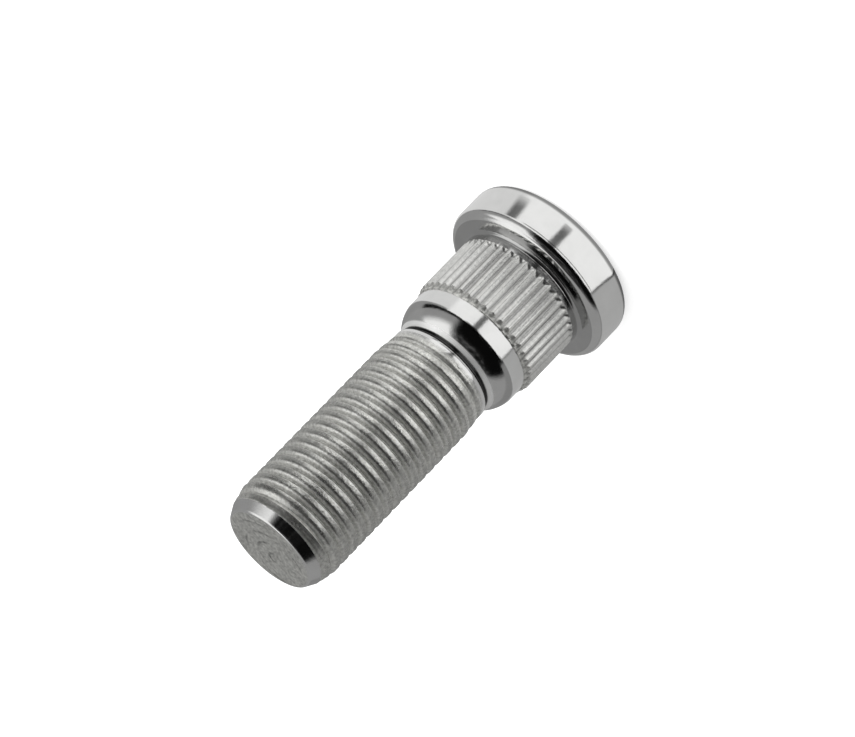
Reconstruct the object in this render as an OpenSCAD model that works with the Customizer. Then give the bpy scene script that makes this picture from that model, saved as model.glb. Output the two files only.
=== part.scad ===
// Wheel stud: a round head, a serrated press-in shank, a plain pilot collar and a long fine thread.
// It stands on its head: the origin is the centre of the head's outer face and +Z runs to the tip.

/* [Head] */
// Diameter of the head
head_d = 22; // [20:0.5:26]
// Thickness of the head
head_h = 5.9; // [4.5:0.1:8]
// Radius of the edge round the outer face
head_back_r = 1.6; // [0.5:0.1:2]
// Radius of the edge on the seating side
head_seat_r = 1.2; // [0.3:0.1:1.5]
// Fillet between the seating face and the shank
seat_fillet_r = 0.5; // [0.3:0.1:1]

/* [Serrated shank] */
// Diameter over the serrations
knurl_d = 16.5; // [16.4:0.1:18]
// Diameter of the plain ring between the head and the serrations
plain_d = 16.3; // [16:0.1:16.4]
// Length of that plain ring
plain_l = 1.2; // [1.1:0.1:3]
// Length of the serrations up to their chamfer
knurl_l = 7.45; // [4:0.05:14]
// Number of serrations
knurl_teeth = 42; // [24:1:48]
// Depth of a groove between two serrations
knurl_depth = 0.42; // [0.2:0.02:0.44]
// Angle between the two sides of a groove
groove_angle = 75; // [60:5:85]
// Length of the chamfer at the end of the serrations
taper_l = 0.5; // [0.3:0.05:2]
// Diameter of the low step that the chamfer leaves of the serrations
step_d = 15.95; // [15.8:0.05:16.2]
// Length of that step
step_l = 0.3; // [0.1:0.05:1]

/* [Pilot collar and neck] */
// Diameter of the plain collar
collar_d = 15.6; // [15:0.1:16]
// Length of the collar's straight part
collar_l = 2; // [1:0.05:5]
// Radius of the collar's rounded nose
nose_r = 3.2; // [2:0.1:5]
// Diameter at the bottom of the relief groove between the nose and the neck
relief_d = 12.1; // [11.6:0.1:12.6]
// Width of the bottom of that groove
relief_l = 0.3; // [0.2:0.05:1]
// Length of the shoulder that rises from the groove to the neck
shoulder_l = 0.25; // [0.1:0.05:0.6]
// Diameter of the neck where the thread runs out
neck_d = 13.2; // [12.7:0.1:13.6]
// Length of the neck
neck_l = 0.85; // [0.6:0.05:4]

/* [Thread] */
// Diameter over the thread's crests
thread_d = 13.86; // [13.7:0.02:14]
// Distance from crest to crest
pitch = 1.5; // [1.25:0.25:1.75]
// Length from the neck to the cone of the tip
thread_l = 27.6; // [15:0.1:60]
// Flat sides round one turn of the thread
thread_sides = 36; // [24:4:48]

/* [Tip] */
// Diameter at the wide end of the tip's cone
tip_base_d = 12.9; // [12.5:0.1:13.2]
// Length of the tip's cone
tip_l = 1.3; // [1:0.1:2.5]
// Angle of the cone's side from the axis
tip_angle = 28; // [15:1:40]
// Radius of the edge between the cone and the end face
tip_edge_r = 0.3; // [0.2:0.1:0.8]

/* [Hidden] */
$fn = 96;

// Heights of the steps above the head's outer face
seat_z = head_h;
knurl_z = seat_z + plain_l;
taper_z = knurl_z + knurl_l;
step_z = taper_z + taper_l;
collar_z = step_z + step_l;
nose_z = collar_z + collar_l;

// Radii of the turned blank
head_r = head_d / 2;
plain_r = plain_d / 2;
knurl_r = knurl_d / 2;
step_r = step_d / 2;
collar_r = collar_d / 2;
relief_r = relief_d / 2;
neck_r = neck_d / 2;
tip_base_r = tip_base_d / 2;

// The inner rods that join the steps are hidden in the serrations and in the thread
rod_inset = 0.6;
carrier_r = collar_r - rod_inset;

// The nose is an arc tangent to the collar that ends at the bottom of the relief groove
nose_x = collar_r - nose_r;
nose_drop = max(0, min(collar_r - relief_r, nose_r));
nose_end_z = nose_z + sqrt(pow(nose_r, 2) - pow(nose_r - nose_drop, 2));
relief_z = nose_end_z + relief_l;
neck_z = relief_z + shoulder_l;
thread_z = neck_z + neck_l;
tip_z = thread_z + thread_l;
end_z = tip_z + tip_l;

// Thread form with 60 degree flanks: a rolled crest is blunter than a cut one, and so is its flat here
crest_r = thread_d / 2;
crest_share = 0.36;
root_share = 0.1;
crest_w = pitch * crest_share;
root_w = pitch * root_share;
flank_w = (pitch - crest_w - root_w) / 2;
root_r = crest_r - flank_w / tan(30);

// The threaded core starts inside the neck and ends inside the tip's cone
bury_l = 0.5;
bury_r = 0.25;
core_z0 = thread_z - bury_l;
core_r0 = neck_r - bury_r;
core_z1 = tip_z + bury_l;
core_r1 = tip_base_r - bury_l * tan(tip_angle) - bury_r;

// The crests leave the neck and reach the cone just proud of them, and rise slowly in between
proud = 0.03;
crest_r0 = neck_r + proud;
crest_r1 = tip_base_r + proud;
run_in_slope = 0.12;
run_out_slope = 0.24;

// The groove starts just under the neck's surface and deepens to its root
groove_r0 = neck_r - proud;
groove_slope = 0.35;

rod_r = root_r - rod_inset;

// Centre of the tip's edge radius, tangent to the cone and to the end face
edge_x = tip_base_r - (tip_edge_r + (tip_l - tip_edge_r) * sin(tip_angle)) / cos(tip_angle);
edge_z = end_z - tip_edge_r;

// Square with one corner left of a rounded edge, to be cut from a profile at that corner
module rounding(r, side) {
    difference() {
        translate([0, side > 0 ? 0 : -r])
            square(r);
        circle(r);
    }
}

// Half profile of the head with its two rounded edges
module head_profile() {
    difference() {
        square([head_r, head_h]);
        translate([head_r - head_back_r, head_back_r])
            rounding(head_back_r, -1);
        translate([head_r - head_seat_r, head_h - head_seat_r])
            rounding(head_seat_r, 1);
    }
}

// Hollow fillet that fills the corner between a face at height z and a wall of radius r
module hollow_fillet(r, z, fillet_r) {
    difference() {
        translate([r - fillet_r, z - fillet_r])
            square(2 * fillet_r);
        translate([r + fillet_r, z + fillet_r])
            circle(fillet_r);
    }
}

// Rounded front of the collar, down to the bottom of the relief groove
module collar_nose() {
    intersection() {
        translate([nose_x, nose_z])
            circle(nose_r);
        translate([collar_r - nose_drop, nose_z])
            square([nose_drop, nose_end_z - nose_z]);
    }
}

// Half profile of the plain ring, the rods, the collar, the relief groove, the neck and the tip
module shank_profile() {
    polygon([
        [0, 0],
        [plain_r, 0],
        [plain_r, knurl_z],
        [carrier_r, knurl_z],
        [carrier_r, collar_z],
        [collar_r, collar_z],
        [collar_r, nose_z],
        [collar_r - nose_drop, nose_end_z],
        [relief_r, nose_end_z],
        [relief_r, relief_z],
        [neck_r, neck_z],
        [neck_r, thread_z],
        [rod_r, thread_z + neck_r - rod_r],
        [rod_r, tip_z - tip_base_r + rod_r],
        [tip_base_r, tip_z],
        [edge_x + tip_edge_r * cos(tip_angle), edge_z + tip_edge_r * sin(tip_angle)],
        [edge_x, edge_z],
        [edge_x, end_z],
        [0, end_z]
    ]);
    if (nose_drop > 0)
        collar_nose();
    translate([edge_x, edge_z])
        circle(tip_edge_r);
    hollow_fillet(plain_r, seat_z, seat_fillet_r);
}

// The turned blank, all of it round
module blank() {
    rotate_extrude() {
        head_profile();
        shank_profile();
    }
}

// Cross-section of the serrated shank: a full circle with V grooves, so each crest is a true arc
module serrated_section() {
    root = knurl_r - knurl_depth;
    reach = knurl_depth * 2;
    difference() {
        circle(knurl_r);
        for (i = [0 : knurl_teeth - 1])
            rotate(i * 360 / knurl_teeth)
                polygon([
                    [root, 0],
                    [root + reach, -reach * tan(groove_angle / 2)],
                    [root + reach, reach * tan(groove_angle / 2)]
                ]);
    }
}

// Body that ends the serrations with a chamfer and the low step, wider than them up to there
module serration_end() {
    slope = taper_l / (knurl_r - step_r);
    wide_r = knurl_r + 0.5;
    rotate_extrude()
        polygon([
            [0, 0],
            [wide_r, 0],
            [wide_r, taper_z - (wide_r - knurl_r) * slope],
            [step_r, step_z],
            [step_r, collar_z],
            [0, collar_z]
        ]);
}

// The serrations, whose grooves run out onto the collar between the steps
module serrations() {
    intersection() {
        translate([0, 0, knurl_z])
            linear_extrude(collar_z - knurl_z)
                serrated_section();
        serration_end();
    }
}

// Corners of one thread form along the axis, from the foot of one flank to the next foot
form_z = [0, flank_w, flank_w + crest_w, 2 * flank_w + crest_w];
turns = ceil((core_z1 - core_z0) / pitch) + 2;
column_points = 4 * turns;

// Radius that the crests and the grooves may reach at a height
function crest_limit(z) = min(
    crest_r,
    crest_r0 + (z - thread_z) * run_in_slope,
    core_r0 + (z - core_z0) * (crest_r0 - core_r0) / bury_l,
    crest_r1 + (tip_z - z) * run_out_slope,
    core_r1 + (core_z1 - z) * (crest_r1 - core_r1) / bury_l);
function root_limit(z) = min(
    crest_limit(z),
    max(root_r, groove_r0 - (z - thread_z) * groove_slope));

// Point m of the column at step i of a turn, kept between the ends of the core
function free_z(i, m) = core_z0 + pitch * (floor(m / 4) - 1 + i / thread_sides - 0.5) + form_z[m % 4];
function held_z(i, m) = max(core_z0, min(core_z1, free_z(i, m)));
function is_crest(m) = m % 4 == 1 || m % 4 == 2;
function column_r(i, m) = is_crest(m) ? crest_limit(held_z(i, m)) : root_limit(held_z(i, m));
function column_point(i, m) = let (a = 360 * i / thread_sides, r = column_r(i, m))
    [r * cos(a), r * sin(a), held_z(i, m)];

// Number of a column point, where the column past the last is the first one a turn higher
function index(i, m) = i < thread_sides
    ? i * column_points + m
    : min(m + 4, column_points - 1);

// The right-hand thread with its core as one closed skin
module threaded_core() {
    points = [
        for (i = [0 : thread_sides - 1])
            for (m = [0 : column_points - 1])
                column_point(i, m)
    ];
    skin = [
        for (i = [0 : thread_sides - 1])
            for (m = [0 : column_points - 2])
                each [
                    [index(i, m), index(i, m + 1), index(i + 1, m + 1)],
                    [index(i, m), index(i + 1, m + 1), index(i + 1, m)]
                ]
    ];
    bottom = [for (i = [0 : thread_sides - 1]) index(i, 0)];
    top = [for (i = [thread_sides - 1 : -1 : 0]) index(i, column_points - 1)];
    polyhedron(points, concat(skin, [bottom, top]));
}

module wheel_stud() {
    color("silver")
        union() {
            blank();
            serrations();
            threaded_core();
        }
}

wheel_stud();
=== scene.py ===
import math

import bpy
from mathutils import Matrix, Vector


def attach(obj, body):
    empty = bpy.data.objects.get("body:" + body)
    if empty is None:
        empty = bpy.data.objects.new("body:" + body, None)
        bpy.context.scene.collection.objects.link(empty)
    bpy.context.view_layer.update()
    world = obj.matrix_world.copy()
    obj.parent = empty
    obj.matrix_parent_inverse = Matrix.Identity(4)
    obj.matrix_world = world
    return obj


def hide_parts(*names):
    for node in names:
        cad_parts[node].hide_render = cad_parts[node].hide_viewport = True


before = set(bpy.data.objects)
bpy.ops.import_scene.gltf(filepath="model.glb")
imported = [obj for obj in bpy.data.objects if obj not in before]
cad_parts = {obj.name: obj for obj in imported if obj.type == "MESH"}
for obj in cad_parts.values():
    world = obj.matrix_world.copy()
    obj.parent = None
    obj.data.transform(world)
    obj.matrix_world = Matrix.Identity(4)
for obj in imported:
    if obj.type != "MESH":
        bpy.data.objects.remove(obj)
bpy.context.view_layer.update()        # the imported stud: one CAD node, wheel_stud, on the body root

mm = 0.001


class Wire:
    # One output socket of a node tree: sums and products of wires add their Math nodes
    def __init__(self, tree, socket=None):
        self.tree = tree
        self.socket = socket

    def add(self, kind, inputs=(), output=0, **settings):
        # Any node: its settings come first, then the values or links of its sockets by name or number
        made = self.tree.nodes.new(kind)
        for name, value in settings.items():
            setattr(made, name, value)
        for key, value in dict(inputs).items():
            if isinstance(value, Wire):
                self.tree.links.new(value.socket, made.inputs[key])
            else:
                made.inputs[key].default_value = value
        return Wire(self.tree, made.outputs[output] if made.outputs else None)

    def math(self, operation, *values, **settings):
        return self.add("ShaderNodeMath", enumerate(values), operation=operation, **settings)

    def __add__(self, other):
        return self.math("ADD", self, other)

    def __radd__(self, other):
        return self.math("ADD", other, self)

    def __sub__(self, other):
        return self.math("SUBTRACT", self, other)

    def __rsub__(self, other):
        return self.math("SUBTRACT", other, self)

    def __mul__(self, other):
        return self.math("MULTIPLY", self, other)

    def __rmul__(self, other):
        return self.math("MULTIPLY", other, self)

    def __truediv__(self, other):
        return self.math("DIVIDE", self, other)

    def __rtruediv__(self, other):
        return self.math("DIVIDE", other, self)

    def most(self, other):
        return self.math("MAXIMUM", self, other)

    def least(self, other):
        return self.math("MINIMUM", self, other)

    def smooth(self, low, high):
        # 0 below low and 1 above high, eased in between
        return self.add("ShaderNodeMapRange", {0: self, 1: low, 2: high}, interpolation_type="SMOOTHSTEP")

    def blend(self, low, high):
        # The colour or number low where the wire is 0 and high where it is 1
        if isinstance(low, tuple) or isinstance(high, tuple):
            colours = [value if isinstance(value, Wire) else (*value, 1.0) for value in (low, high)]
            return self.add("ShaderNodeMix", {0: self, 6: colours[0], 7: colours[1]}, 2, data_type="RGBA")
        return self.add("ShaderNodeMix", {0: self, 2: low, 3: high})


# Sizes of the stud in millimetres, from the head's outer face upwards
stud = {
    "headRadius": 11.0,
    "headHeight": 5.9,
    "backEdge": 1.6,
    "seatEdge": 1.2,
    "seatFillet": 0.5,
    # seatShade is the strength of the painted shade on the seat
    "seatShade": 0.82,
    "ringRadius": 8.15,
    "serrationRadius": 8.25,
    "serrationStart": 7.1,
    "chamferStart": 14.55,
    "chamferEnd": 15.05,
    "stepRadius": 7.975,
    "stepEnd": 15.35,
    "collarRadius": 7.8,
    "collarEnd": 17.35,
    "noseLength": 2.853,
    "noseEdge": 8.0,
    "palePlace": 6.75,
    "slitPlace": 6.25,
    "reliefRadius": 6.05,
    "reliefLength": 0.3,
    "shoulderLength": 0.25,
    "neckRadius": 6.6,
    "neckLength": 0.85,
    "threadLength": 27.6,
    "threadTurn": -0.22,
    "pitch": 1.5,
    "threadRadius": 6.93,
    "crestShare": 0.54,
    "rootShare": 0.1,
    "crestRounds": (0.14, 0.42),
    "rootRound": 0.1,
    "tipRadius": 6.45,
    "tipLength": 1.3,
    "tipAngle": 28.0,
    "tipEdge": 0.3,
    "teeth": 42,
    "teethTurn": 0.32,
    "grooveDepth": 0.42,
    "serrationMatt": 0.45,
}
grooveShape = (1.0, 0.78, 0.2, 0.0, 0.2, 0.78)     # depth of one serration's columns, groove to groove
support = 0.07     # a row this close to a tangent point keeps the flat beside it flat


def arcRows(x, z, radius, start, stop, steps):
    # Points on an arc of the half outline, angles in degrees from the outward direction
    rows = []
    for step in range(steps + 1):
        angle = math.radians(start + (stop - start) * step / steps)
        rows.append((x + radius * math.cos(angle), z + radius * math.sin(angle)))
    return rows


def spread(start, stop, steps):
    # Evenly spaced points between two ends, both included
    return [tuple(a + (b - a) * step / steps for a, b in zip(start, stop)) for step in range(steps + 1)]


def headRows(s):
    rim = s["headRadius"]
    top = s["headHeight"]
    flat = rim - s["backEdge"]
    rows = spread((0, 0), (flat - support, 0), 3)
    rows += arcRows(flat, s["backEdge"], s["backEdge"], -90, 0, 9)
    rows += spread((rim, s["backEdge"] + support), (rim, top - s["seatEdge"] - support), 2)
    rows += arcRows(rim - s["seatEdge"], top - s["seatEdge"], s["seatEdge"], 0, 90, 8)
    rows += spread((rim - s["seatEdge"] - support, top), (s["ringRadius"] + s["seatFillet"] + support, top), 2)
    rows += arcRows(s["ringRadius"] + s["seatFillet"], top + s["seatFillet"], s["seatFillet"], 270, 180, 7)
    return rows + [(s["ringRadius"], s["serrationStart"])]


def collarRows(s):
    # Collar, its rounded nose, the relief groove, its shoulder and the neck up to the thread
    collar = s["collarRadius"]
    relief = s["reliefRadius"]
    neck = s["neckRadius"]
    start = s["collarEnd"]
    middle = math.atan2(collar - relief, s["noseLength"])
    first = math.radians(s["noseEdge"])
    radius = math.hypot(collar - relief, s["noseLength"]) / 2 / math.sin(middle - first)
    last = math.degrees(2 * middle - first)
    foot = start + s["noseLength"] + s["reliefLength"]
    top = foot + s["shoulderLength"]
    threadStart = top + s["neckLength"]
    rows = spread((collar, s["stepEnd"] + support), (collar, start - support), 2)
    centre = (collar - radius * math.cos(first), start - radius * math.sin(first))
    rows += arcRows(*centre, radius, s["noseEdge"], last, 16)
    slit = [(relief, start + s["noseLength"] + support), (relief, foot - support)]
    shoulder = spread((relief + support, foot), (neck - support, top - support / 2), 2)
    return rows, slit, shoulder + spread((neck, top + support), (neck, threadStart), 2), threadStart


def serratedRows(s):
    # (radius, height, share of the groove depth) from the plain ring to the collar
    start = s["serrationStart"]
    end = s["chamferStart"]
    land = s["serrationRadius"]
    step = s["stepRadius"]
    rows = [(land, start + rise, share) for rise, share in ((0, 0.25), (0.12, 0.6), (0.35, 1))]
    rows += [(r, z, 1) for r, z in spread((land, start + 0.8), (land, end - support), 8)]
    rows += [(r, z, 1) for r, z in spread((land, end), (step, s["chamferEnd"]), 4)]
    return rows + [(r, z, 1) for r, z in ((step, s["stepEnd"] - support), (s["collarRadius"], s["stepEnd"]))]


def threadForm(s):
    # (share of the pitch, share of the height, seam) over one thread form, which has 60 degree flanks,
    # a round root and a blunt crest with a seam where the rolled metal met
    pitch = s["pitch"]
    crestFoot = pitch * (1 - s["crestShare"]) / 2
    rootHalf = pitch * s["rootShare"] / 2
    depth = (crestFoot - rootHalf) * math.tan(math.radians(60))
    slack = math.tan(math.radians(30))

    def half(crestRound):
        rows = [(0, 0, 0)]
        for angle in (30, 60):
            turn = math.radians(angle)
            reach = rootHalf - s["rootRound"] * (slack - math.sin(turn))
            rows.append((reach, s["rootRound"] * (1 - math.cos(turn)), 0))
        for angle in (60, 30, 0):
            turn = math.radians(angle)
            reach = crestFoot + crestRound * (slack - math.sin(turn))
            rows.append((reach, depth - crestRound * (1 - math.cos(turn)), 0))
        return rows

    lower, upper = (half(crestRound) for crestRound in s["crestRounds"])
    form = lower + [(pitch / 2, depth, 1)] + [(pitch - x, y, 0) for x, y, _ in reversed(upper[1:])]
    return [(x / pitch, y / depth, seam) for x, y, seam in form], depth


def tipRows(s, base):
    # Cone with its rounded edge, and the end face to its centre
    slope = math.radians(s["tipAngle"])
    fall = s["tipLength"] - s["tipEdge"]
    edgeX = s["tipRadius"] - (s["tipEdge"] + fall * math.sin(slope)) / math.cos(slope)
    edgeZ = base + fall
    edge = arcRows(edgeX, edgeZ, s["tipEdge"], s["tipAngle"], 90, 6)
    along = Vector((edge[0][0] - s["tipRadius"], edge[0][1] - base))
    near = support / along.length
    rows = [(s["tipRadius"] + along.x * share, base + along.y * share) for share in (0, near, 0.5, 1 - near)]
    return rows + edge, spread((edgeX - support, base + s["tipLength"]), (0, base + s["tipLength"]), 12)


def profileMesh(s):
    # The rows of the stud as points of one mesh, with what each row does when it is swept
    parts = []

    def add(rows, **marks):
        parts.extend((row[0], row[1], marks) for row in rows)

    # The seat rows carry painted shade; the relief groove rows carry a stronger painted shade
    for place in headRows(s):
        add([place], slit=s["seatShade"] * (place[1] > s["headHeight"] - support))
    for r, z, share in serratedRows(s):
        add([(r, z)], serrated=share, matt=s["serrationMatt"] * (2 if z > s["chamferStart"] else 1))
    nose, slit, neck, threadStart = collarRows(s)
    for place in nose:
        # Rows in the relief groove carry the strong painted shade
        inSlit = place[0] < s["slitPlace"]
        add([place], pale=int(place[0] < s["palePlace"] and not inSlit), slit=2 * inSlit)
    add(slit, slit=2)
    add(neck)
    form, depth = threadForm(s)
    for turn in range(-1, math.ceil(s["threadLength"] / s["pitch"])):
        for place, height, seam in form:
            add([(0, threadStart + (turn + place) * s["pitch"])], helix=1, form=height, seam=seam, matt=1)
    cone, face = tipRows(s, threadStart + s["threadLength"])
    add(cone)
    add(face, matt=1, end=1)
    mesh = bpy.data.meshes.new("studRows")
    mesh.from_pydata([(r * mm, 0, z * mm) for r, z, _ in parts], [], [])
    for name in ("helix", "form", "seam", "serrated", "slit", "pale", "end", "matt"):
        values = [marks.get(name, 0) for _, _, marks in parts]
        mesh.attributes.new(name, "FLOAT", "POINT").data.foreach_set("value", values)
    return mesh, threadStart, depth


def sweepTree(inputs):
    # Sweeps the rows round the axis: serrations follow the teeth and thread rows climb a helix
    tree = bpy.data.node_groups.new("studSweep", "GeometryNodeTree")
    tree.interface.new_socket("Rows", in_out="INPUT", socket_type="NodeSocketGeometry")
    for name, value in inputs.items():
        kind = "NodeSocketInt" if isinstance(value, int) else "NodeSocketFloat"
        tree.interface.new_socket(name, in_out="INPUT", socket_type=kind)
    tree.interface.new_socket("Material", in_out="INPUT", socket_type="NodeSocketMaterial")
    tree.interface.new_socket("Stud", in_out="OUTPUT", socket_type="NodeSocketGeometry")
    entry = tree.nodes.new("NodeGroupInput")
    given = {socket.name: Wire(tree, socket) for socket in entry.outputs if socket.name}
    rows = given["Rows"]
    here = Wire(tree)

    rowCount = here.add("GeometryNodeAttributeDomainSize", {0: rows}, "Point Count")
    columnsPerTooth = len(grooveShape)
    columnCount = given["Teeth"] * columnsPerTooth + 1
    grid = here.add("GeometryNodeMeshGrid", {"Vertices X": columnCount, "Vertices Y": rowCount}, "Mesh")

    index = here.add("GeometryNodeInputIndex")
    column = here.math("FLOOR", (index + 0.5) / rowCount)
    row = index - column * rowCount

    def ofRow(value, kind="FLOAT"):
        inputsOf = {"Geometry": rows, "Value": value, "Index": row}
        return here.add("GeometryNodeSampleIndex", inputsOf, data_type=kind, domain="POINT")

    def rowValue(name):
        return ofRow(here.add("GeometryNodeInputNamedAttribute", {"Name": name}, data_type="FLOAT"))

    place = ofRow(here.add("GeometryNodeInputPosition"), "FLOAT_VECTOR")
    radius = here.add("ShaderNodeSeparateXYZ", {0: place}, "X")
    height = here.add("ShaderNodeSeparateXYZ", {0: place}, "Z")
    helix = rowValue("helix")
    form = rowValue("form")
    serrated = rowValue("serrated")
    seam = rowValue("seam")
    matt = rowValue("matt")
    slit = rowValue("slit")
    pale = rowValue("pale")
    faceMark = rowValue("end")

    # Each serration takes the same columns, from the root of one groove to the next
    tooth = here.math("FLOOR", (column + 0.5) / columnsPerTooth)
    step = column - tooth * columnsPerTooth
    share = step / columnsPerTooth
    depth = given["Groove depth"]
    teethRadius = given["Serration radius"]
    cut = here.add("GeometryNodeIndexSwitch", {0: step}, data_type="FLOAT")
    switch = cut.socket.node
    while len(switch.index_switch_items) < columnsPerTooth:
        switch.index_switch_items.new()
    for slot, value in enumerate(grooveShape, 1):
        switch.inputs[slot].default_value = value
    angle = (tooth + share + given["Teeth turn"]) / given["Teeth"] * math.tau
    turned = here.math("MODULO", tooth + 0.5, given["Teeth"])
    uneven = here.add("FunctionNodeRandomValue", {2: 0.86, 3: 1.0, "ID": turned, "Seed": given["Seed"]}, 1)
    groove = teethRadius - depth * uneven * cut * serrated
    lathe = radius.least(groove.most(radius * (serrated.math("LESS_THAN", serrated, 0.001))))

    # The thread climbs one pitch a turn between the neck and the cone
    start = given["Thread start"]
    end = given["Thread end"]
    climbed = height + given["Pitch"] * (angle / math.tau + given["Thread turn"])
    level = climbed.most(start).least(end)
    fromNeck = level - start
    fromTip = end - level
    crest = given["Thread radius"].least(given["Neck radius"] + fromNeck * given["Run in"])
    crest = crest.least(given["Tip radius"] + fromTip * given["Run out"])
    rootIn = given["Neck radius"] - fromNeck * given["Groove run in"]
    rootOut = given["Tip radius"] - fromTip * given["Groove run out"]
    root = (given["Thread radius"] - given["Thread depth"]).most(rootIn).most(rootOut).least(crest)
    threadR = root + form * (crest - root)

    finalRadius = helix.blend(lathe, threadR)
    finalHeight = helix.blend(height, level)

    # Slight dents and unevenness, which fade out on the axis
    cosine = here.math("COSINE", angle)
    sine = here.math("SINE", angle)
    smoothSpot = here.add("ShaderNodeCombineXYZ", {
        0: finalRadius * cosine,
        1: finalRadius * sine,
        2: finalHeight,
    })
    wave = here.add("ShaderNodeTexNoise", {"Vector": smoothSpot, "Scale": given["Dent scale"], "Detail": 2.0})
    lump = (wave - 0.5) * given["Dent depth"]
    nick = here.add("ShaderNodeTexNoise", {"Vector": smoothSpot, "Scale": given["Nick scale"], "Detail": 1.0})
    chip = nick.smooth(0.6, 0.8) * given["Nick depth"] * helix * form.smooth(0.8, 1.0)
    # Only the end face is uneven, up to 5.2 mm from the axis
    above = here.math("GREATER_THAN", finalHeight, end + 0.9 * mm)
    onEnd = above * (5.2 * mm - finalRadius).smooth(0.0, 2 * mm)
    seamFade = given["Seam reach"] / (given["Seam reach"] + fromTip.most(0))
    finalRadius = finalRadius - chip - seam * given["Seam depth"] * seamFade * fromTip.smooth(0.0, 0.6 * mm)
    spot = here.add("ShaderNodeCombineXYZ", {
        0: finalRadius * cosine,
        1: finalRadius * sine,
        2: finalHeight + lump * onEnd,
    })
    swept = here.add("GeometryNodeSetPosition", {"Geometry": grid, "Position": spot})
    # Painted shade mark: the grooves of the serrations, the seat and the relief groove
    paintedShadeMark = (cut * serrated).most(slit)
    marks = {"matt": matt, "crest": form * helix, "groove": paintedShadeMark, "pale": pale, "face": faceMark}
    for name, value in marks.items():
        keep = {"Geometry": swept, "Name": name, "Value": value}
        swept = here.add("GeometryNodeStoreNamedAttribute", keep, data_type="FLOAT", domain="POINT")
    closed = here.add("GeometryNodeMergeByDistance", {"Geometry": swept, "Distance": 1e-6})
    bend = here.add("GeometryNodeInputMeshEdgeAngle", output="Unsigned Angle")
    soft = here.math("LESS_THAN", bend, given["Sharp angle"])
    shaded = here.add("GeometryNodeSetShadeSmooth", {"Geometry": closed, "Shade Smooth": soft}, domain="EDGE")
    shaded = here.add("GeometryNodeSetShadeSmooth", {"Geometry": shaded, "Shade Smooth": True}, domain="FACE")
    real = here.add("GeometryNodeRealizeInstances", {"Geometry": shaded})
    final = here.add("GeometryNodeSetMaterial", {"Geometry": real, "Material": given["Material"]})
    leave = tree.nodes.new("NodeGroupOutput")
    tree.links.new(final.socket, leave.inputs[0])
    return tree


# Bright zinc plating: mirror-like on the turned faces, dull and grained on the rolled thread, with painted shade
# in the grooves of the serrations, on the seat and in the relief groove
zinc = {
    "turned": (0.84, 0.84, 0.83),
    "rolled": (0.74, 0.74, 0.705),
    "worn": (0.84, 0.84, 0.8),
    # colour of the painted shade in the grooves, on the seat and in the relief groove
    "shaded": (0.05, 0.05, 0.05),
    "turnedRough": 0.12,
    "rolledRough": 0.36,
    "grainScale": 2600.0,
    "cloudScale": 420.0,
    "curlPlace": (-0.0012, 0.0008, 0.0),
    "curlScale": 190.0,
    "curlBreakScale": 330.0,
}


def zincPlating():
    material = bpy.data.materials.new("zincPlating")
    material.use_nodes = True
    tree = material.node_tree
    tree.nodes.clear()
    here = Wire(tree)
    place = here.add("ShaderNodeTexCoord", output="Object")
    matt = here.add("ShaderNodeAttribute", output="Fac", attribute_name="matt")
    crest = here.add("ShaderNodeAttribute", output="Fac", attribute_name="crest")
    groove = here.add("ShaderNodeAttribute", output="Fac", attribute_name="groove")
    pale = here.add("ShaderNodeAttribute", output="Fac", attribute_name="pale")
    face = here.add("ShaderNodeAttribute", output="Fac", attribute_name="face")
    grain = here.add("ShaderNodeTexNoise", {"Vector": place, "Scale": zinc["grainScale"], "Detail": 4.0,
                                              "Roughness": 0.6})
    cloud = here.add("ShaderNodeTexNoise", {"Vector": place, "Scale": zinc["cloudScale"], "Detail": 4.0})
    worn = matt * crest.smooth(0.74, 0.88)
    colour = matt.blend(zinc["turned"], zinc["rolled"])
    colour = (worn * 0.8).blend(colour, zinc["worn"])
    # Painted shade: marks up to 1 darken the grooves of the serrations and the seat, and 2 the relief groove,
    # towards the shaded colour
    paintedShade = groove.smooth(0.5, 1.0) * 0.45 + groove.smooth(1.0, 1.8) * 0.53
    colour = paintedShade.blend(colour, zinc["shaded"])
    # Faint curls that the press left on the end face, broken up by a coarse noise
    bent = here.add("ShaderNodeVectorMath", {0: place, 1: zinc["curlPlace"]}, operation="SUBTRACT")
    curl = here.add("ShaderNodeTexWave", {
        "Vector": bent,
        "Scale": zinc["curlScale"],
        "Distortion": 2.5,
        "Detail Scale": 0.6,
    }, "Fac", wave_type="RINGS", rings_direction="Z")
    broken = here.add("ShaderNodeTexNoise", {"Vector": place, "Scale": zinc["curlBreakScale"], "Detail": 1.0})
    curls = face * curl.smooth(0.86, 0.98) * broken.smooth(0.45, 0.6)
    shade = 0.9 + 0.2 * cloud + matt * (grain - 0.5) * 1.35 - curls * 0.3 - face * 0.28
    colour = here.add("ShaderNodeVectorMath", {0: colour, 1: shade}, operation="MULTIPLY")
    rough = matt.blend(zinc["turnedRough"], zinc["rolledRough"]) - worn * 0.08 + pale * 0.25 + (cloud - 0.5) * 0.1
    rise = (grain - 0.5) * (0.15 + matt)
    bump = here.add("ShaderNodeBump", {"Strength": 0.6, "Distance": 0.00008, "Height": rise})
    metal = here.add("ShaderNodeBsdfPrincipled", {
        "Base Color": colour,
        "Metallic": 1 - matt * 0.16 + worn * 0.1 - pale * 0.4,
        "Roughness": rough,
        "Normal": bump,
    })
    here.add("ShaderNodeOutputMaterial", {"Surface": metal})
    return material


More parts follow.
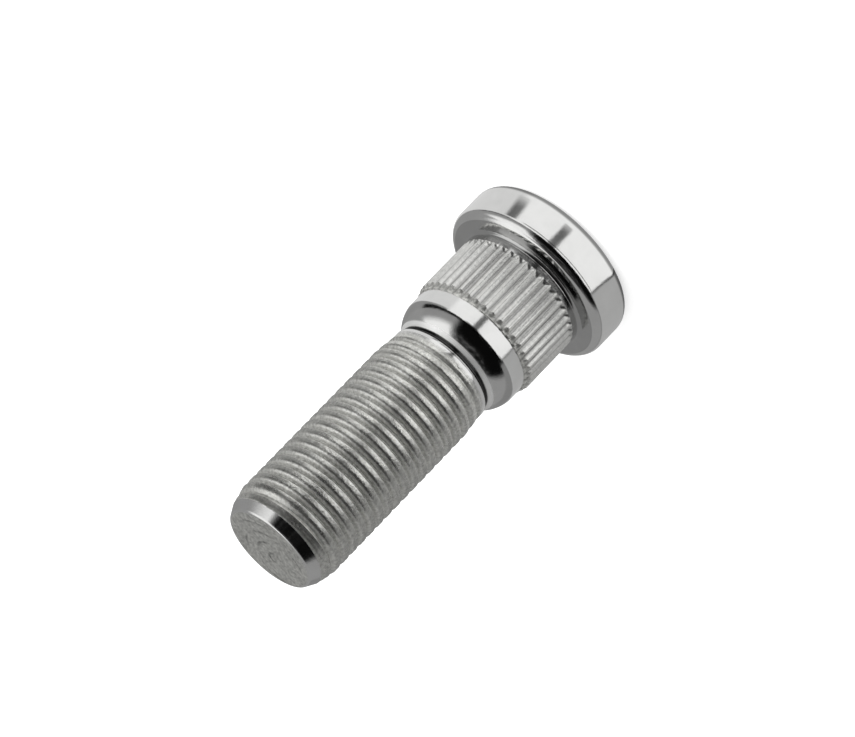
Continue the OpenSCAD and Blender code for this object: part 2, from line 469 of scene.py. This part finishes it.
def buildStud():
    rows, threadStart, threadDepth = profileMesh(stud)
    inputs = {
        "Teeth": stud["teeth"],
        "Teeth turn": stud["teethTurn"],
        "Seed": 7,
        "Serration radius": stud["serrationRadius"] * mm,
        "Groove depth": stud["grooveDepth"] * mm,
        "Pitch": stud["pitch"] * mm,
        "Thread turn": stud["threadTurn"],
        "Thread start": threadStart * mm,
        "Thread end": (threadStart + stud["threadLength"]) * mm,
        "Thread radius": stud["threadRadius"] * mm,
        "Thread depth": threadDepth * mm,
        "Neck radius": stud["neckRadius"] * mm,
        "Tip radius": stud["tipRadius"] * mm,
        "Run in": 0.12,
        "Run out": 0.24,
        "Groove run in": 0.35,
        "Groove run out": 1.3,
        "Dent scale": 260.0,
        "Dent depth": 0.08 * mm,
        "Nick scale": 2600.0,
        "Nick depth": 0.03 * mm,
        "Seam depth": 0.06 * mm,
        "Seam reach": 3.0 * mm,
        "Sharp angle": math.radians(52),
    }
    tree = sweepTree(inputs)
    carrier = bpy.data.objects.new("studCarrier", rows)
    bpy.context.scene.collection.objects.link(carrier)
    modifier = carrier.modifiers.new("sweep", "NODES")
    modifier.node_group = tree
    identifiers = {item.name: item.identifier for item in tree.interface.items_tree if item.in_out == "INPUT"}
    for name, value in inputs.items():
        modifier[identifiers[name]] = value
    modifier[identifiers["Material"]] = zincPlating()
    graph = bpy.context.evaluated_depsgraph_get()
    mesh = bpy.data.meshes.new_from_object(carrier.evaluated_get(graph), depsgraph=graph)
    bpy.data.objects.remove(carrier)
    piece = bpy.data.objects.new("zincStud", mesh)
    bpy.context.scene.collection.objects.link(piece)
    triangles = sum(len(face.vertices) - 2 for face in mesh.polygons)
    print("stud swept:", len(mesh.vertices), "points,", triangles, "triangles")
    return piece


studPiece = buildStud()
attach(studPiece, "root")
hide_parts("wheel_stud")

# Painted reflections in place of the cards and flags of a photo studio: the stud mirrors light and dark sectors
# that floor and world show only to reflections,
# as the camera sees plain white: sides in degrees round it, 0 towards the camera and 90 towards +X, and reaches
# from its axis in metres
studio = {
    "floorHalf": 3.0,
    "paperGlow": 0.6,
    "darkGrey": 0.003,
    "darkSides": (-62, 112),
    "darkReach": (0.1, 0.11),
    "sideShift": 0.005,
    "nearSides": (-61, 66),
    "nearEase": (1, 6),
    "floorNear": 0.95,
    "floorRight": 0.42,
    "floorLeft": 0.72,
    "farRight": 0.23,
    "farLeft": 0.28,
    "rightReach": (0.048, 0.06),
    "leftReach": (0.045, 0.056),
    "behindSides": (135, 180),
    # painted contact shadow next to the head, seen only in reflections, and where it fades out
    "paintedContactShadow": 0.3,
    "contactReach": (0.0108, 0.0118),
    "aroundGrey": 0.3,
    "diffuseSky": 0.75,
    "skySides": (-84, 38),
    "boxSides": (46, 108),
    "boxHeights": (-2, 68),
    "boxRise": (14, 34),
    "boxGreys": (0.28, 0.95),
    "topWhite": 1.0,
    "topHeights": (40, 52),
    "topPitch": (87, 91),
    "topSide": (-0.25, 0.05),
    "patchScale": 9.0,
    "patchEdges": (0.42, 0.7),
    "patchHeights": (30, 46),
    "patchSides": (15, 45),
    "patchGreys": (0.1, 0.3),
}
# Painted dark reflections on the floor, which only glossy rays see: sides, ease, darkness, the reach where each
# starts and where it ends
paintedFloorReflections = {
    "gapNear": ((4.5, 15.5), 2, 0.85, (0.0125, 0.0165), None),
    "gapLeft": ((61, 74), 3, 0.8, (0.0125, 0.017), (0.024, 0.03)),
    "gapFar": ((0, 28), 5, 0.8, (0.045, 0.063), None),
    "gapSide": ((-66, -52), 4, 0.7, (0.045, 0.063), None),
    "seam": ((-63, -60.5), 0.8, 0.8, None, None),
    "ring": ((-58, 50), 5, 0.97, (0.0215, 0.0228), (0.0245, 0.0295)),
}


def sector(azimuth, sides, ease):
    # 1 between two directions and 0 outside, eased at both
    low, high = sides
    return azimuth.smooth(low - ease, low + ease) * (1 - azimuth.smooth(high - ease, high + ease))


def paleFloor():
    mesh = bpy.data.meshes.new("paleFloor")
    half = studio["floorHalf"]
    corners = [(-half, -half, 0), (half, -half, 0), (half, half, 0), (-half, half, 0)]
    mesh.from_pydata(corners, [], [(0, 1, 2, 3)])
    floor = bpy.data.objects.new("paleFloor", mesh)
    bpy.context.scene.collection.objects.link(floor)
    floor.location.z = -0.02 * mm
    material = bpy.data.materials.new("paleFloor")
    material.use_nodes = True
    tree = material.node_tree
    tree.nodes.clear()
    here = Wire(tree)
    seen = here.add("ShaderNodeLightPath", output="Is Camera Ray")
    mirrored = here.add("ShaderNodeLightPath", output="Is Glossy Ray")
    through = here.add("ShaderNodeLightPath", output="Is Transmission Ray")
    place = here.add("ShaderNodeNewGeometry", output="Position")
    x = here.add("ShaderNodeSeparateXYZ", {0: place}, "X")
    y = here.add("ShaderNodeSeparateXYZ", {0: place}, "Y")
    azimuth = here.math("ARCTAN2", x, 0 - y - studio["sideShift"]) * (180 / math.pi)
    out = here.math("SQRT", x * x + y * y)
    right, left = studio["nearSides"]
    rightEase, leftEase = studio["nearEase"]
    near = azimuth.smooth(right - rightEase, right + rightEase)
    near = near * (1 - azimuth.smooth(left - leftEase, left + leftEase))
    rightGrey = out.smooth(*studio["rightReach"]).blend(studio["floorRight"], studio["farRight"])
    leftGrey = out.smooth(*studio["leftReach"]).blend(studio["floorLeft"], studio["farLeft"])
    beyond = azimuth.smooth(-10, 10).blend(rightGrey, leftGrey)
    behind = here.math("ABSOLUTE", azimuth).smooth(*studio["behindSides"])
    beyond = behind.blend(beyond, (rightGrey + leftGrey) * 0.5)
    grey = near.blend(beyond, studio["floorNear"])
    far = out.smooth(*studio["darkReach"])
    grey = (sector(azimuth, studio["darkSides"], 4) * far).blend(grey, studio["darkGrey"])
    # Each painted dark reflection darkens the floor that glossy rays see
    for sides, ease, darkness, starts, ends in paintedFloorReflections.values():
        mark = darkness * sector(azimuth, sides, ease)
        if starts:
            mark = mark * out.smooth(*starts)
        if ends:
            mark = mark * (1 - out.smooth(*ends))
        grey = grey * (1 - mark)
    # Painted contact shadow: the floor that glossy rays see is darker next to the head
    shadowGrey = studio["paintedContactShadow"]
    grey = grey * (shadowGrey + (1 - shadowGrey) * out.smooth(*studio["contactReach"]))
    paper = here.add("ShaderNodeBsdfDiffuse", {"Color": (0.8, 0.8, 0.8, 1.0)})
    glow = here.add("ShaderNodeEmission", {"Color": (1.0, 1.0, 1.0, 1.0), "Strength": studio["paperGlow"]})
    lit = here.add("ShaderNodeAddShader", {0: paper, 1: glow})
    shine = here.add("ShaderNodeEmission", {"Color": (1.0, 1.0, 1.0, 1.0), "Strength": grey})
    forCamera = here.add("ShaderNodeMixShader", {0: seen.most(through), 1: paper, 2: lit})
    mixed = here.add("ShaderNodeMixShader", {0: mirrored, 1: forCamera, 2: shine})
    here.add("ShaderNodeOutputMaterial", {"Surface": mixed})
    mesh.materials.append(material)


def studioWorld():
    world = bpy.data.worlds.new("studioWorld")
    bpy.context.scene.world = world
    world.use_nodes = True
    tree = world.node_tree
    tree.nodes.clear()
    here = Wire(tree)
    way = here.add("ShaderNodeTexCoord", output="Generated")
    x = here.add("ShaderNodeSeparateXYZ", {0: way}, "X")
    y = here.add("ShaderNodeSeparateXYZ", {0: way}, "Y")
    z = here.add("ShaderNodeSeparateXYZ", {0: way}, "Z")
    azimuth = here.math("ARCTAN2", x, 0 - y) * (180 / math.pi)
    elevation = here.math("ARCSINE", z) * (180 / math.pi)
    front = sector(azimuth, studio["skySides"], 8)
    box = sector(azimuth, studio["boxSides"], 6) * sector(elevation, studio["boxHeights"], 4)
    pitch = here.math("ARCTAN2", z, 0 - y) * (180 / math.pi)     # 90 overhead, more beyond it
    top = elevation.smooth(*studio["topHeights"]) * pitch.smooth(*studio["topPitch"])
    top = top * x.smooth(*studio["topSide"])
    noise = here.add("ShaderNodeTexNoise", {"Vector": way, "Scale": studio["patchScale"], "Detail": 3.0})
    patches = noise.smooth(*studio["patchEdges"]) * elevation.smooth(*studio["patchHeights"])
    patchGrey = azimuth.smooth(*studio["patchSides"]).blend(*studio["patchGreys"])
    haze = studio["darkGrey"] + patches * patchGrey
    boxGrey = elevation.smooth(*studio["boxRise"]).blend(*studio["boxGreys"])
    grey = box.blend(studio["aroundGrey"], boxGrey)
    grey = front.blend(grey, haze)
    grey = top.blend(grey, studio["topWhite"])
    seen = here.add("ShaderNodeLightPath", output="Is Camera Ray")
    even = here.add("ShaderNodeLightPath", output="Is Diffuse Ray")
    strength = even.blend(seen.blend(grey, 1.0), studio["diffuseSky"])
    light = here.add("ShaderNodeBackground", {"Color": (1.0, 1.0, 1.0, 1.0), "Strength": strength})
    here.add("ShaderNodeOutputWorld", {"Surface": light})


def softLamp(name, place, size, watts):
    lamp = bpy.data.lights.new(name, "AREA")
    lamp.shape = "RECTANGLE"
    lamp.size, lamp.size_y = size
    lamp.energy = watts
    holder = bpy.data.objects.new(name, lamp)
    bpy.context.scene.collection.objects.link(holder)
    holder.location = place
    holder.visible_glossy = False
    holder.rotation_mode = "QUATERNION"
    holder.rotation_quaternion = (Vector((0, 0, 0.025)) - Vector(place)).to_track_quat("-Z", "Y")


# The camera, as the photograph shows the stud lying across the picture with the tip towards it
view = {
    "elevation": 24.0,
    "distance": 530.0,
    "pixelsPerMm": 8.877,
    "axisDown": (-0.696, 0.718),
    "centre": (415.0, 398.9),
    "frame": (855, 737),
    "aimHeight": 25.24,
}


def photoCamera():
    tilt = math.radians(view["elevation"])
    forward = Vector((0, math.cos(tilt), -math.sin(tilt)))
    axis = Vector((0, math.sin(tilt), math.cos(tilt)))
    across = Vector((1, 0, 0))
    a, down = view["axisDown"]
    size = math.hypot(a, down)
    a, b = a / size, -down / size
    right = a * axis + b * across
    up = b * axis - a * across
    offset = [(view["centre"][side] - view["frame"][side] / 2) / view["pixelsPerMm"] for side in (0, 1)]
    aim = Vector((0, 0, view["aimHeight"])) - right * offset[0] + up * offset[1]
    camera = bpy.data.cameras.new("photoCamera")
    camera.sensor_width = 36
    camera.lens = view["pixelsPerMm"] * view["distance"] * camera.sensor_width / view["frame"][0]
    camera.clip_start = 0.01
    holder = bpy.data.objects.new("photoCamera", camera)
    bpy.context.scene.collection.objects.link(holder)
    turn = Matrix((right, up, -forward)).transposed()
    holder.matrix_world = Matrix.Translation((aim - forward * view["distance"]) * mm) @ turn.to_4x4()
    bpy.context.scene.camera = holder


paleFloor()
studioWorld()
softLamp("leftLamp", (0.45, -0.1, 0.35), (0.3, 0.3), 2.0)
photoCamera()
bpy.context.scene.view_settings.view_transform = "Standard"
print("studio ready")
